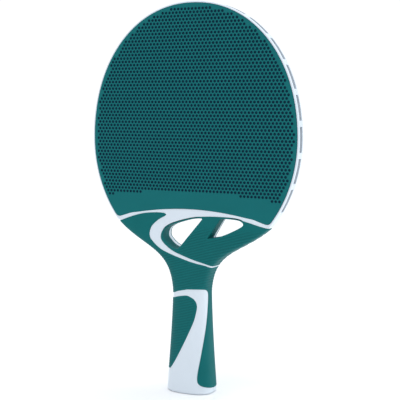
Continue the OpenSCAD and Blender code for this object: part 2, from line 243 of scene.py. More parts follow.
class Bat:
    """Shape functions that the pieces share. x runs to the right, y away from the front and z up from the
    butt, in metres. The functions give the front half; the rear mirrors it through y = 0."""

    def __init__(self, scene):
        self.blade = scene.bat_blade
        self.handle = scene.bat_handle
        self.grips = scene.bat_grips
        self.widest_z = self.blade.length - self.blade.crown
        self.wing_z = self.widest_z - self.handle.wing_drop
        self.neck_z = self.wing_z - self.handle.throat
        self.top_z = self.wing_z + self.handle.fade
        self.wing_half = float(self.rim_half(np.array(self.wing_z)))
        self.face = self.blade.rim / 2 + self.blade.pad_proud
        self.reach = self.blade.width
        self.flare = self.flare_line()
        self.windows = [self.in_throat(LEFT_WINDOW), self.in_throat(RIGHT_WINDOW)]
        self.windows = [eased(w, 0.55 * MM, 0.3 * MM) for w in self.windows]

    def in_throat(self, knots):
        """A curve through knots scaled to the half-width of the wings and the height of the throat."""
        return smooth_line(np.array(knots) * (self.wing_half, self.handle.throat) + (0, self.neck_z))

    def in_handle(self, knots):
        """A curve through knots scaled to the half-width of the butt and the height of the handle."""
        return smooth_line(np.array(knots) * (self.handle.butt_width / 2, self.neck_z))

    def rim_half(self, z):
        """Half-width of the blade: an ellipse below the widest line, a superellipse above it."""
        blade = self.blade
        low = np.sqrt(np.clip(1 - ((self.widest_z - z) / blade.chin) ** 2, 0, 1))
        up = np.clip((z - self.widest_z) / blade.crown, 0, 1)
        high = (1 - up ** blade.crown_power) ** (1 / blade.crown_power)
        return blade.width / 2 * np.where(z < self.widest_z, low, high)

    def flare_line(self):
        """Side line of the throat as z and half-width: a cubic Bezier curve from the neck to the wing corner."""
        handle = self.handle
        wing = np.array([self.wing_z, self.wing_half])
        slope = np.array([1, handle.wing_slope]) / math.hypot(1, handle.wing_slope)
        neck = np.array([self.neck_z, handle.neck_width / 2])
        ends = [neck, neck + (handle.flare_low, 0), wing - handle.flare_high * slope, wing]
        t = np.linspace(0, 1, 400)[:, None]
        return sum(k * (1 - t) ** (3 - i) * t ** i * p for i, (k, p) in enumerate(zip((1, 3, 3, 1), ends)))

    def swell(self, z):
        """How far the handle has swelled from the neck to the butt: a power of the share of the way down."""
        return np.clip(1 - z / self.neck_z, 0, 1) ** self.handle.swelling

    def half_width(self, z):
        """Half-width of the body: swelling below the neck, the flare above it, then just inside the rim."""
        handle = self.handle
        low = handle.neck_width / 2 + (handle.butt_width - handle.neck_width) / 2 * self.swell(z)
        flare = np.interp(z, self.flare[:, 0], self.flare[:, 1])
        inset = self.blade.rim_edge * smoothstep(z, self.wing_z, self.wing_z + handle.fade / 2)
        return np.where(z < self.neck_z, low, np.where(z < self.wing_z, flare, self.rim_half(z) - inset))

    def half_thickness(self, z):
        """Half-thickness of the body: swelling below the neck, thinning to the wings and then to the rim."""
        handle = self.handle
        opened = np.clip((z - self.neck_z) / handle.throat, 0, 1)
        faded = np.clip((z - self.wing_z) / handle.fade, 0, 1)
        high = (handle.neck - (handle.neck - handle.wing) * opened ** handle.thinning
                - (handle.wing - self.blade.rim) * faded)
        return np.where(z < self.neck_z, handle.neck + (handle.butt - handle.neck) * self.swell(z), high) / 2

    def squareness(self, z):
        """Power of the superellipse that the cross-section follows."""
        handle = self.handle
        opened = np.clip((z - self.neck_z) / handle.throat, 0, 1)
        return handle.squareness + (handle.wing_power - handle.squareness) * opened

    def front_skin(self, z, columns, inset=0.0):
        """Front half of the body as a grid of points and outward normals. Each row is half a superellipse
        |x/a|^p + |y/b|^p = 1 at its own height, from the left over the front to the right, with its columns
        evenly spaced along it but closer together round its corners."""
        a = self.half_width(z) - inset
        b = self.half_thickness(z) - inset
        power = self.squareness(z)
        t = np.linspace(0, 1, 401)
        square = np.stack([np.minimum(1, 2 - 2 * t), np.minimum(1, 2 * t)])
        length = (square[0] ** power[:, None] + square[1] ** power[:, None]) ** (1 / power[:, None])
        x, y = a[:, None] * square[0] / length, b[:, None] * square[1] / length
        step = np.hypot(np.diff(x), np.diff(y)) * (1 + 2 * np.exp(-((t[1:] - 0.5) / 0.12) ** 2))
        run = np.concatenate([np.zeros((len(z), 1)), np.cumsum(step, 1)], 1)
        run /= run[:, -1:]
        even = np.linspace(0, 1, columns // 2 + 1)
        qx = np.array([np.interp(even, r, v) for r, v in zip(run, x)])
        qy = np.array([np.interp(even, r, v) for r, v in zip(run, y)])
        px = np.concatenate([-qx, qx[:, -2::-1]], 1)
        py = np.concatenate([-qy, -qy[:, -2::-1]], 1)
        py[:, [0, -1]] = 0
        points = np.stack([px, py, np.broadcast_to(z[:, None], px.shape)], 2)
        normals = np.cross(np.gradient(points, axis=1), np.gradient(points, axis=0))
        normals[:, [0, -1], 1] = 0
        return points, normals / np.linalg.norm(normals, axis=2, keepdims=True)

    def rim(self, run):
        """Points and outward normals of the right-hand rim at lengths along it from the wing corner. The rim
        is an ellipse up to the widest line and a superellipse above, both by the angle at their middle."""
        blade = self.blade
        low = math.asin((self.wing_z - self.widest_z) / blade.chin)
        angle = np.linspace(low, math.pi / 2, 4001)
        c, s = np.clip(np.cos(angle), 0, 1), np.sin(angle)
        power = 2 / blade.crown_power
        up = np.abs(s) ** power
        x = blade.width / 2 * np.where(angle < 0, c, c ** power)
        z = self.widest_z + np.where(angle < 0, blade.chin * s, blade.crown * up)
        along = np.concatenate([[0], np.cumsum(np.hypot(np.diff(x), np.diff(z)))])
        if run is None:
            return along[-1]
        line = np.stack([np.interp(run, along, x), np.interp(run, along, z)], 1)
        ahead = np.stack([np.interp(run + MM, along, x), np.interp(run + MM, along, z)], 1)
        behind = np.stack([np.interp(run - MM, along, x), np.interp(run - MM, along, z)], 1)
        way = ahead - behind
        way[run > along[-1] - MM / 2] = (-1, 0)
        normal = np.stack([way[:, 1], -way[:, 0]], 1)
        return line, normal / np.linalg.norm(normal, axis=1, keepdims=True)

    def slot_places(self):
        """Start and end of each slot as lengths along the rim."""
        blade = self.blade
        pitch = (self.rim(None) - blade.slot_start + blade.slot_gap / 2) / blade.slots
        start = blade.slot_start + np.arange(blade.slots) * pitch
        return start, start + pitch - blade.slot_gap

    def pad_path(self):
        """Outline of a pad, round from the middle of its lower edge to the right, the outline of the blade
        beside it, and the length along the rim that each point lies at, or -1 away from the rim. The rim is
        followed at the margin's distance, the lower edge is an arc, and a circle touches both at the corner.
        The outer line runs down the rim to the wing corner and back along an arc with the same middle."""
        blade = self.blade
        total = self.rim(None)
        centre = np.array([0, self.wing_z + blade.band - blade.arc])
        tries = np.linspace(0, total / 4, 2000)
        line, normal = self.rim(tries)
        inner = line - (blade.margin + blade.corner) * normal
        gap = np.hypot(*(inner - centre).T) - blade.arc - blade.corner
        start = np.interp(0, gap, tries)
        starts, ends = self.slot_places()
        lip = 0.06 * MM
        edges = np.concatenate([starts - lip, starts + lip, ends - lip, ends + lip])
        runs = np.unique(np.concatenate([np.linspace(start, total, 330), edges[edges > start]]))
        line, normal = self.rim(runs)
        hub = np.array([np.interp(start, tries, inner[:, k]) for k in (0, 1)])
        low = math.atan2(centre[1] - hub[1], centre[0] - hub[0])
        high = math.atan2(normal[0, 1], normal[0, 0])
        turn = np.linspace(low, high, 14)[1:-1]
        bend = np.stack([np.cos(turn), np.sin(turn)], 1)
        swing = np.linspace(0, math.atan2(hub[0], hub[1] - centre[1]), 60)
        arc = np.stack([np.sin(swing), np.cos(swing)], 1)
        points = np.concatenate([centre + blade.arc * arc, hub + blade.corner * bend, line - blade.margin * normal])
        wing = np.array([self.wing_half, self.wing_z]) - centre
        swing = np.linspace(0, math.atan2(*wing), 60)
        below = centre + np.hypot(*wing) * np.stack([np.sin(swing), np.cos(swing)], 1)
        outer = np.concatenate([below, self.rim(np.linspace(0, start, 14)[1:-1])[0], line])
        runs = np.concatenate([np.full(len(arc) + len(bend), -1.0), runs])
        flip = slice(-2, 0, -1)
        points = np.concatenate([points, points[flip] * (-1, 1)])
        outer = np.concatenate([outer, outer[flip] * (-1, 1)])
        return points, outer, np.concatenate([runs, runs[flip]])

    def in_windows(self, x, z):
        """Distance inside the nearer window, negative outside both."""
        return np.maximum(*(inside_distance(x, z, w) for w in self.windows))

    def throat_level(self, x, y, z):
        """Distance inside the island of the throat grip."""
        return inside_distance(x, z, self.in_throat(THROAT_EDGE))

    def neck_level(self, x, y, z):
        """Distance inside the neck grip: the fin, and below it the collar and the panel. The collar's left edge
        is seen from the front, its right edge and the panel square on to the right corner of each half."""
        overlap = 4 * MM
        cut = self.neck_z + self.grips.collar
        top, back = self.in_throat(FIN_TOP), self.in_throat(FIN_BACK)
        fin = np.concatenate([top, back, [
            (self.reach, back[-1, 1]), (self.reach, cut - overlap), (-self.reach, cut - overlap),
            (-self.reach, top[0, 1])]])
        left = self.in_handle(COLLAR_LEFT)
        collar = np.concatenate([[(self.reach, left[0, 1])], left, [
            (-self.reach, left[-1, 1]), (-self.reach, cut + overlap), (self.reach, cut + overlap)]])
        right = self.in_handle(COLLAR_RIGHT)
        foot = self.in_handle(PANEL_FOOT)
        panel = np.concatenate([[(-self.reach, right[0, 1])], right, self.in_handle(PANEL_EDGE), foot, [
            (self.reach, foot[-1, 1]), (self.reach, cut + overlap), (-self.reach, cut + overlap)]])
        low = z < cut + overlap
        level = np.full(x.shape, -self.reach)
        corner = (x[low] - np.abs(y[low])) / math.sqrt(2) + self.grips.wrap * (y[low] > 0)
        rightwards = smoothstep(x[low], -MM, MM)
        level[low] = ((1 - rightwards) * inside_distance(x[low], z[low], collar)
                      + rightwards * inside_distance(corner, z[low], eased(panel, 2.6 * MM)))
        high = z > cut - overlap
        level[high] = np.maximum(level[high], inside_distance(x[high], z[high], eased(fin, 0.5 * MM)))
        return level

    def palm_level(self, x, y, z):
        """Distance inside the palm grip."""
        return inside_distance(x, z, self.in_handle(PALM_EDGE))


# Mesh work on whole arrays -------------------------------------------------------------------------

def grid_faces(rows, columns, round_rows=False):
    """Triangles of a grid of points, two to a cell. Rows join up again if round_rows is set."""
    index = np.arange(rows * columns).reshape(rows, columns)
    if round_rows:
        index = np.concatenate([index, index[:1]])
    a, b, c, d = index[:-1, :-1], index[:-1, 1:], index[1:, 1:], index[1:, :-1]
    return np.concatenate([np.stack([a, b, c], 2).reshape(-1, 3), np.stack([a, c, d], 2).reshape(-1, 3)])


def keep(points, faces, level, snap=0.04 * MM):
    """The part of a triangle mesh where level is over 0. Edges that pass through 0 are split in proportion,
    and a point that is nearer to 0 than snap counts as on it."""
    level = np.where(np.abs(level) < snap, snap * 1e-6, level)
    inside = level > 0
    count = inside[faces].sum(1)
    turn = np.arange(3)
    one, two = faces[count == 1], faces[count == 2]
    one = np.take_along_axis(one, (np.argmax(inside[one], 1)[:, None] + turn) % 3, 1)
    two = np.take_along_axis(two, (np.argmin(inside[two], 1)[:, None] + turn) % 3, 1)
    pairs = np.concatenate([one[:, [0, 1]], one[:, [0, 2]], two[:, [1, 0]], two[:, [2, 0]]])
    pairs, place = np.unique(pairs, axis=0, return_inverse=True)
    place = place.ravel() + len(points)
    p, q, r, s = np.split(place, np.cumsum([len(one), len(one), len(two)]))
    start, end = level[pairs[:, 0]], level[pairs[:, 1]]
    t = (start / (start - end))[:, None]
    points = np.concatenate([points, points[pairs[:, 0]] * (1 - t) + points[pairs[:, 1]] * t])
    faces = np.concatenate([
        faces[count == 3], np.stack([one[:, 0], p, q], 1),
        np.stack([r, two[:, 1], two[:, 2]], 1), np.stack([r, two[:, 2], s], 1)])
    used, faces = np.unique(faces, return_inverse=True)
    return points[used], faces.reshape(-1, 3)


def open_edges(faces):
    """Directed edges that only one triangle has."""
    half = np.concatenate([faces[:, [0, 1]], faces[:, [1, 2]], faces[:, [2, 0]]])
    span = faces.max() + 1
    return half[~np.isin(half[:, 0] * span + half[:, 1], half[:, 1] * span + half[:, 0])]


def add_walls(points, faces, edges, rings):
    """Carries open edges through rings of points, one row of faces for each ring. A ring holds a new place
    for each point of the edges, in the order of their numbers."""
    place = np.searchsorted(np.unique(edges), edges)
    for ring in rings:
        new = place + len(points)
        points = np.concatenate([points, ring])
        faces = np.concatenate([
            faces, np.stack([edges[:, 1], edges[:, 0], new[:, 0]], 1),
            np.stack([edges[:, 1], new[:, 0], new[:, 1]], 1)])
        edges = new
    return points, faces, edges


def merge_points(points, faces):
    """Points at the same place become one."""
    keys = np.round(points[:, :3] / (0.001 * MM) + 0.37).astype(np.int64)
    _, first, place = np.unique(keys, axis=0, return_index=True, return_inverse=True)
    faces = place.ravel()[faces]
    return points[first], faces[(faces != np.roll(faces, 1, axis=1)).all(1)]


def join_halves(front, front_faces, rear, rear_faces):
    """A front half and the mirror image of a second half, joined where their points meet."""
    mirrored = rear * (1, -1, 1, *[1] * (rear.shape[1] - 3))
    faces = np.concatenate([front_faces, rear_faces[:, ::-1] + len(front)])
    return merge_points(np.concatenate([front, mirrored]), faces)


def steepest(level, x, z):
    """Unit direction in which level grows fastest, from its differences over a small step."""
    step = 0.02 * MM
    way = np.stack([level(x + step, z) - level(x - step, z), level(x, z + step) - level(x, z - step)], 1)
    return way / np.maximum(np.linalg.norm(way, axis=1, keepdims=True), 1e-12)


def make_piece(name, points, faces, material, nodes, polygons=(), shade=None):
    """Makes the mesh object for a piece, of triangles and a few many-sided faces, and ties it to the frame."""
    mesh = bpy.data.meshes.new(name)
    corners = np.concatenate([faces.ravel(), *polygons]).astype(np.int32)
    sides = np.concatenate([np.full(len(faces), 3), [len(p) for p in polygons]]).astype(np.int32)
    mesh.vertices.add(len(points))
    mesh.vertices.foreach_set("co", points[:, :3].astype(np.float32).ravel())
    mesh.loops.add(len(corners))
    mesh.loops.foreach_set("vertex_index", corners)
    mesh.polygons.add(len(sides))
    mesh.polygons.foreach_set("loop_start", np.concatenate([[0], np.cumsum(sides)[:-1]]).astype(np.int32))
    mesh.update(calc_edges=True)
    mesh.polygons.foreach_set("use_smooth", np.ones(len(sides), bool))
    mesh.set_sharp_from_angle(angle=math.radians(38))
    if shade is not None:
        mesh.attributes.new("shade", "FLOAT", "POINT").data.foreach_set("value", shade.astype(np.float32))
    mesh.materials.append(material)
    piece = bpy.data.objects.new(name, mesh)
    bpy.context.scene.collection.objects.link(piece)
    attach(piece, "root")
    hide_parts(*nodes)
    return piece


# Materials -----------------------------------------------------------------------------------------

class Nodes:
    """Short ways to add and link nodes in a new material."""

    def __init__(self, name):
        self.material = bpy.data.materials.new(name)
        self.material.use_nodes = True
        self.tree = self.material.node_tree
        self.shader = self.tree.nodes["Principled BSDF"]
        self.coordinates = self.add("ShaderNodeTexCoord").outputs["Object"]

    def add(self, kind, **settings):
        """A new node with its settings."""
        node = self.tree.nodes.new(kind)
        for key, value in settings.items():
            setattr(node, key, value)
        return node

    def feed(self, node, **sockets):
        """Sets or links the node's inputs by name, with _ for a space."""
        for key, value in sockets.items():
            socket = node.inputs[key.replace("_", " ")]
            if isinstance(value, bpy.types.NodeSocket):
                self.tree.links.new(value, socket)
            else:
                socket.default_value = value
        return node

    def noise(self, scale, detail=3.0):
        """Soft noise with about scale features per metre."""
        node = self.feed(self.add("ShaderNodeTexNoise"), Scale=scale, Detail=detail, Vector=self.coordinates)
        return node.outputs["Fac"]

    def spread(self, value, low, high, start=0.0, end=1.0):
        """Value from start to end becomes low to high."""
        node = self.feed(
            self.add("ShaderNodeMapRange"), Value=value, From_Min=start, From_Max=end, To_Min=low, To_Max=high)
        return node.outputs["Result"]

    def maths(self, operation, a, b=0.0):
        """One step of arithmetic."""
        node = self.add("ShaderNodeMath", operation=operation)
        for socket, value in zip(node.inputs, (a, b)):
            if isinstance(value, bpy.types.NodeSocket):
                self.tree.links.new(value, socket)
            else:
                socket.default_value = value
        return node.outputs[0]

    def mix(self, factor, first, second):
        """Blend of two colours."""
        node = self.add("ShaderNodeMix", data_type="RGBA")
        for number, value in ((0, factor), (6, first), (7, second)):
            if isinstance(value, bpy.types.NodeSocket):
                self.tree.links.new(value, node.inputs[number])
            else:
                node.inputs[number].default_value = value if number == 0 else (*value, 1)
        return node.outputs[2]

    def shade(self):
        """How deep in a slot or a groove a point is, from the piece's own attribute, which the materials use to
        paint shade there.
        """
        return self.add("ShaderNodeAttribute", attribute_name="shade").outputs["Fac"]

    def depth(self):
        """Distance of a point from the middle plane of the bat."""
        parts = self.feed(self.add("ShaderNodeSeparateXYZ"), Vector=self.coordinates)
        return self.maths("ABSOLUTE", parts.outputs["Y"])

    def bump(self, height, strength, distance):
        """Fine relief on the shader's normal."""
        node = self.feed(self.add("ShaderNodeBump"), Height=height, Strength=strength, Distance=distance)
        self.feed(self.shader, Normal=node.outputs["Normal"])


def shaded(tone, factor):
    """A colour made lighter or darker."""
    return tuple(min(1, c * factor) for c in tone)


def core_material(scene):
    """Hard white plastic: a faint cloudiness, a satin gloss that varies, a fine parting line where the two halves
    meet, and painted shade on the walls inside the rim's slots, where the shade attribute is set."""
    tone = tuple(scene.bat_colours.core)
    nodes = Nodes("core_plastic")
    cloud = nodes.mix(nodes.noise(45), shaded(tone, 0.97), shaded(tone, 1.02))
    seam = nodes.spread(nodes.depth(), 1, 0, 0.05 * MM, 0.13 * MM)
    plain = nodes.mix(nodes.maths("MULTIPLY", seam, 0.45), cloud, shaded(tone, 0.5))
    # painted shade: where the shade attribute is set (the slot walls) the white is mixed towards a darker copy of
    # itself
    nodes.feed(nodes.shader, Base_Color=nodes.mix(nodes.shade(), plain, shaded(tone, 0.7)))
    nodes.feed(nodes.shader, Roughness=nodes.spread(nodes.noise(160, 5), 0.26, 0.42))
    nodes.bump(nodes.noise(1400, 2), 0.12, 0.05 * MM)
    return nodes.material


def pad_material(scene, face):
    """Matt rubber of a pad: painted shade inside the dots, a little cloudy on the face, with a fine grain."""
    colours = scene.bat_colours
    nodes = Nodes("pad_rubber")
    tone = tuple(colours.pad)
    cloud = nodes.mix(nodes.noise(60), shaded(tone, 0.93), shaded(tone, 1.08))
    # painted shade: more than 0.2 mm below the face the rubber takes the darker dot colour, for the shade inside
    # the holes
    raised = nodes.spread(nodes.depth(), 0, 1, face - 0.2 * MM, face - 0.02 * MM)
    nodes.feed(nodes.shader, Base_Color=nodes.mix(raised, tuple(colours.dot), cloud))
    nodes.feed(nodes.shader, Roughness=nodes.spread(nodes.noise(300, 4), 0.55, 0.72), Specular_IOR_Level=0.14)
    nodes.bump(nodes.noise(2600, 3), 0.25, 0.05 * MM)
    return nodes.material


def grip_material(scene):
    """Soft moulded rubber: painted shade in the grooves between ribs, with a fine grain and uneven gloss."""
    colours = scene.bat_colours
    nodes = Nodes("grip_rubber")
    tone = tuple(colours.grip)
    cloud = nodes.mix(nodes.noise(80), shaded(tone, 0.92), shaded(tone, 1.08))
    # painted shade: the grooves, by the shade attribute, take the darker groove colour
    nodes.feed(nodes.shader, Base_Color=nodes.mix(nodes.shade(), cloud, tuple(colours.groove)))
    nodes.feed(nodes.shader, Roughness=nodes.spread(nodes.noise(260, 4), 0.46, 0.62), Specular_IOR_Level=0.13)
    nodes.bump(nodes.noise(2200, 3), 0.25, 0.05 * MM)
    return nodes.material


def material(kind, *facts):
    """A material of this file, made the first time that a piece asks for it."""
    names = {core_material: "core_plastic", pad_material: "pad_rubber", grip_material: "grip_rubber"}
    return bpy.data.materials.get(names[kind]) or kind(*facts)


# Pieces --------------------------------------------------------------------------------------------

def window_walls(bat, points, faces, edges, profile):
    """Walls of the windows: each open point moves into its window by the first number of each step of the
    profile, and its depth becomes the second, or is raised by the third where the second is None."""
    ids = np.unique(edges)
    x, y, z = points[ids, :3].T
    way = steepest(bat.in_windows, x, z)
    rings = []
    for inwards, depth, raised in profile:
        ring = points[ids].copy()
        ring[:, 0] += inwards * way[:, 0]
        ring[:, 2] += inwards * way[:, 1]
        ring[:, 1] = y + raised if depth is None else -depth
        rings.append(ring)
    return add_walls(points, faces, edges, rings)


def build_handle_core(scene):
    """Hard core of the handle and throat, a closed solid with its butt edge rounded by a quarter circle and
    its two windows cut through."""
    bat = Bat(scene)
    radius = bat.handle.butt_edge
    turn = np.linspace(0, math.pi / 2, 7)[:-1]
    rows = np.linspace(radius, bat.top_z, 165)
    z = np.concatenate([radius * (1 - np.cos(turn)), rows])
    inset = np.concatenate([radius * (1 - np.sin(turn)), np.zeros(len(rows))])
    grid, _ = bat.front_skin(z, 150, inset)
    points = grid.reshape(-1, 3)
    faces = grid_faces(*grid.shape[:2])
    level = -bat.grips.lining - bat.in_windows(points[:, 0], points[:, 2])
    points, faces = keep(points, faces, level)
    edges = open_edges(faces)
    middle = np.abs(bat.in_windows(points[:, 0], points[:, 2]) + bat.grips.lining) < 0.2 * MM
    window = edges[middle[edges].all(1)]
    for end in (0, bat.top_z):
        ring = edges[(np.abs(points[edges, 2] - end) < 1e-7).all(1)]
        faces = np.concatenate([faces, np.column_stack([ring[:, ::-1], np.full(len(ring), len(points))])])
        points = np.concatenate([points, [(0, 0, end)]])
    lining, end, bed = bat.grips.lining, bat.grips.lining_end, bat.grips.bed
    in_front = [(0, -end, 0), (lining, -end, 0)]
    behind = [(0, None, bed), (lining, None, bed), (lining, end, 0)]
    halves = [window_walls(bat, points, faces, window, wall)[:2] for wall in (in_front, behind)]
    points, faces = join_halves(*halves[0], *halves[1])
    return make_piece("handle_core", points, faces, material(core_material, scene),
                      ["front_shell", "rear_shell"])


def build_blade_core(scene):
    """Hard core of the blade. A profile across the rim is carried round the outline of the pads: pocket wall,
    lip, rounded edge and side, with the slots as stretches where the middle of the side steps in."""
    bat = Bat(scene)
    blade = bat.blade
    path, outer, run = bat.pad_path()
    across = outer - path
    across /= np.linalg.norm(across, axis=1, keepdims=True)
    starts, ends = bat.slot_places()
    lip = 0.06 * MM
    inside = ((run[:, None] > starts) & (run[:, None] < ends)).any(1)
    depth = np.where(inside, blade.slot_depth, 0)
    half, edge, margin = blade.rim / 2, blade.rim_edge, blade.margin
    floor = half - (blade.pad - blade.pad_proud)
    turn = np.linspace(0, math.pi / 2, 6)
    soft = 0.2 * MM
    seam = 0.1 * MM
    front = [(-2 * MM - blade.slot_depth / 2, floor, 0), (0, floor, 0), (0, half - soft, 0)]
    front += [(soft * (1 - math.cos(a)), half - soft * (1 - math.sin(a)), 0) for a in turn[1:]]
    front += [(margin - edge * (1 - math.sin(a)), half - edge * (1 - math.cos(a)), 0) for a in turn]
    front += [(margin, blade.slot / 2, 0), (margin, blade.slot / 2 - lip / 8, 0.01)]
    front += [(margin, blade.slot / 2 - lip, 1), (margin, seam, 1)]
    profile = np.array(front + [(margin - seam, 0, 1)] + [(o, -y, r) for o, y, r in front[::-1]])
    out = profile[:, 0] - depth[:, None] * profile[:, 2]
    inner_part = (profile[:, 0] < margin / 2)[None, :, None]
    flat = np.where(inner_part, path[:, None], outer[:, None] - margin * across[:, None])
    flat = flat + out[:, :, None] * across[:, None]
    grid = np.stack([flat[:, :, 0], np.broadcast_to(-profile[:, 1], out.shape), flat[:, :, 1]], 2)
    rows, columns = grid.shape[:2]
    faces = grid_faces(rows, columns, round_rows=True)
    ends_front = np.arange(rows) * columns
    caps = [ends_front, (ends_front + columns - 1)[::-1]]
    # painted shade: the recessed walls of the slots are marked here so that the core material colours them darker
    shade = (depth[:, None] * profile[:, 2] > 0).ravel()
    return make_piece("blade_core", grid.reshape(-1, 3), faces, material(core_material, scene),
                      ["front_shell", "rear_shell"], caps, shade)


def pad_cells(bat, outline):
    """Middles of the six-sided cells that tile a pad, and which of them hold a dot: rows are half the root of
    3 pitches apart, every other row is shifted by half a pitch, and the dots keep off the pad's edge and off
    the plain strip along its foot, which drops by a row at two places on each side."""
    blade = bat.blade
    pitch = blade.dot_pitch
    row = pitch * math.sqrt(3) / 2
    first_z = bat.widest_z + blade.dot_row
    count = int(blade.length / row)
    j, i = np.meshgrid(np.arange(-count, count), np.arange(-count, count), indexing="ij")
    x = -blade.dot_shift + (i + (j % 2) / 2) * pitch
    z = first_z - j * row
    near = (np.abs(x) < blade.width / 2 + pitch) & (z > bat.wing_z - pitch) & (z < blade.length + pitch)
    x, z = x[near], z[near]
    level = inside_distance(x, z, outline)
    near = level > -pitch
    x, z, level = x[near], z[near], level[near]
    steps = (np.abs(x) > 0.48 * blade.width / 2).astype(int) + (np.abs(x) > 0.768 * blade.width / 2)
    dotted = (level > blade.dot_margin) & (z > bat.wing_z + blade.dots_low - steps * row)
    return x, z, dotted


def pad_surface(bat, outline):
    """Face of a front pad, level with y = -face: cells with a round hole each, whose wall narrows to its floor,
    and plain cells between them and the edge."""
    blade = bat.blade
    x, z, dotted = pad_cells(bat, outline)
    six, twelve = np.radians(30 + 60 * np.arange(6)), np.radians(30 * np.arange(12))

    def ring(angles, radius, depth):
        return np.stack([radius * np.cos(angles), np.full(len(angles), depth), radius * np.sin(angles)], 1)

    rim = ring(six, blade.dot_pitch / math.sqrt(3), 0)
    mouth, floor = ring(twelve, blade.dot / 2, 0), ring(twelve, blade.dot * 0.42, blade.dot_depth)
    cell = np.concatenate([rim, mouth, floor, [(0, blade.dot_depth * 1.1, 0)]])
    k, m = np.arange(6), np.arange(12)
    k2, m2 = (k + 1) % 6, (m + 1) % 12
    one, two, three = 6 + 2 * k + 1, 6 + (2 * k + 2) % 12, 6 + (2 * k + 3) % 12
    holes = np.concatenate([
        np.stack([k, k2, two], 1), np.stack([k, two, one], 1), np.stack([k2, three, two], 1),
        np.stack([6 + m, 6 + m2, 18 + m2], 1), np.stack([6 + m, 18 + m2, 18 + m], 1),
        np.stack([18 + m, 18 + m2, np.full(12, 30)], 1)])
    plain = np.concatenate([rim, [(0, 0, 0)]])
    fan = np.stack([k, k2, np.full(6, 6)], 1)
    middles = np.stack([x, np.full(len(x), -bat.face), z], 1)
    points, faces = [], []
    for chosen, shape, triangles in ((dotted, cell, holes), (~dotted, plain, fan)):
        start = sum(len(p) for p in points)
        number = start + np.arange(chosen.sum()) * len(shape)
        points.append((middles[chosen][:, None] + shape).reshape(-1, 3))
        faces.append((number[:, None, None] + triangles).reshape(-1, 3))
    return merge_points(np.concatenate(points), np.concatenate(faces))


def build_pads(scene):
    """Two dimpled playing pads. The face is trimmed to the outline, its edge turns over in a quarter circle, and
    a wall and a flat back close it. The rear pad is the front one mirrored through y = 0."""
    bat = Bat(scene)
    blade = bat.blade
    outline = bat.pad_path()[0]

    def level(x, z):
        return inside_distance(x, z, outline)

    points, faces = pad_surface(bat, outline)
    points, faces = keep(points, faces, level(points[:, 0], points[:, 2]) - blade.pad_edge)
    edges = open_edges(faces)
    ids = np.unique(edges)
    way = steepest(level, points[ids, 0], points[ids, 2])
    rings = []
    for a in np.linspace(0, math.pi / 2, 5)[1:]:
        ring = points[ids].copy()
        ring[:, [0, 2]] -= way * blade.pad_edge * math.sin(a)
        ring[:, 1] += blade.pad_edge * (1 - math.cos(a))
        rings.append(ring)
    rings.append(rings[-1] * (1, 0, 1) - (0, bat.face - blade.pad, 0))
    points, faces, edges = add_walls(points, faces, edges, rings)
    faces = np.concatenate([faces, np.column_stack([edges[:, ::-1], np.full(len(edges), len(points))])])
    points = np.concatenate([points, [(0, blade.pad - bat.face, bat.widest_z)]])
    rubber = material(pad_material, scene, bat.face)
    make_piece("front_pad_rubber", points, faces, rubber, ["front_pad"])
    make_piece("rear_pad_rubber", points * (1, -1, 1), faces[:, ::-1], rubber, ["rear_pad"])


def ribs(bat, x, z, slope):
    """How deep in a groove each point is, from 0 to 1: narrow grooves a rib pitch apart, which rise to the
    right by slope."""
    phase = (z - slope * x) / bat.grips.rib_pitch
    return 1 - np.abs(np.sin(math.pi * phase)) ** 0.6


def grip_half(bat, data, faces, slope, ribbed, wall):
    """Front or rear half of a soft grip, from the skin of the body with its normals and the distance inside
    the grip's outline: raised by the grip's height with a rounded shoulder along its edge, grooved between its
    ribs, and closed by walls and an inner skin in its bed. Windows, if any, get the wall's profile."""
    grips = bat.grips
    data, faces = keep(data, faces, data[:, 6])
    margin = smoothstep(data[:, 6], 0.6 * MM, 1.6 * MM)
    if wall:
        data = np.column_stack([data, -grips.window_edge - bat.in_windows(data[:, 0], data[:, 2])])
        data, faces = keep(data, faces, data[:, 7])
        margin = smoothstep(data[:, 6], 0.6 * MM, 1.6 * MM) * smoothstep(data[:, 7], 0.3 * MM, 1.2 * MM)
    shoulder = np.clip(data[:, 6] / grips.shoulder, 0, 1)
    height = grips.proud * np.sqrt(1 - (1 - shoulder) ** 2)
    groove = ribs(bat, data[:, 0], data[:, 2], slope) * margin * ribbed(bat, data[:, 0], data[:, 2])
    outer = data[:, :3] + (height - grips.rib_depth * groove)[:, None] * data[:, 3:6]
    inner = data[:, :3] - grips.bed * data[:, 3:6]
    # the fourth column, the groove depth, becomes the shade attribute that the grip material paints as shade
    points = np.column_stack([outer, groove])
    back = np.column_stack([inner, np.zeros(len(inner))])
    edges = open_edges(faces)
    edges = edges[~(np.abs(data[edges, 1]) < 1e-8).all(1)]
    skin, joints = faces, []
    if wall:
        at_window = (data[edges, 7] < 0.05 * MM).all(1)
        rim = edges[at_window]
        points, skin, last = window_walls(bat, points, faces, rim, wall)
        joints.append((rim, last))
        edges = edges[~at_window]
    joints.append((edges, edges))
    start = len(points)
    parts = [skin, faces[:, ::-1] + start]
    for below, above in joints:
        parts.append(np.stack([above[:, 1], above[:, 0], below[:, 0] + start], 1))
        parts.append(np.stack([above[:, 1], below[:, 0] + start, below[:, 1] + start], 1))
    return np.concatenate([points, back]), np.concatenate(parts)


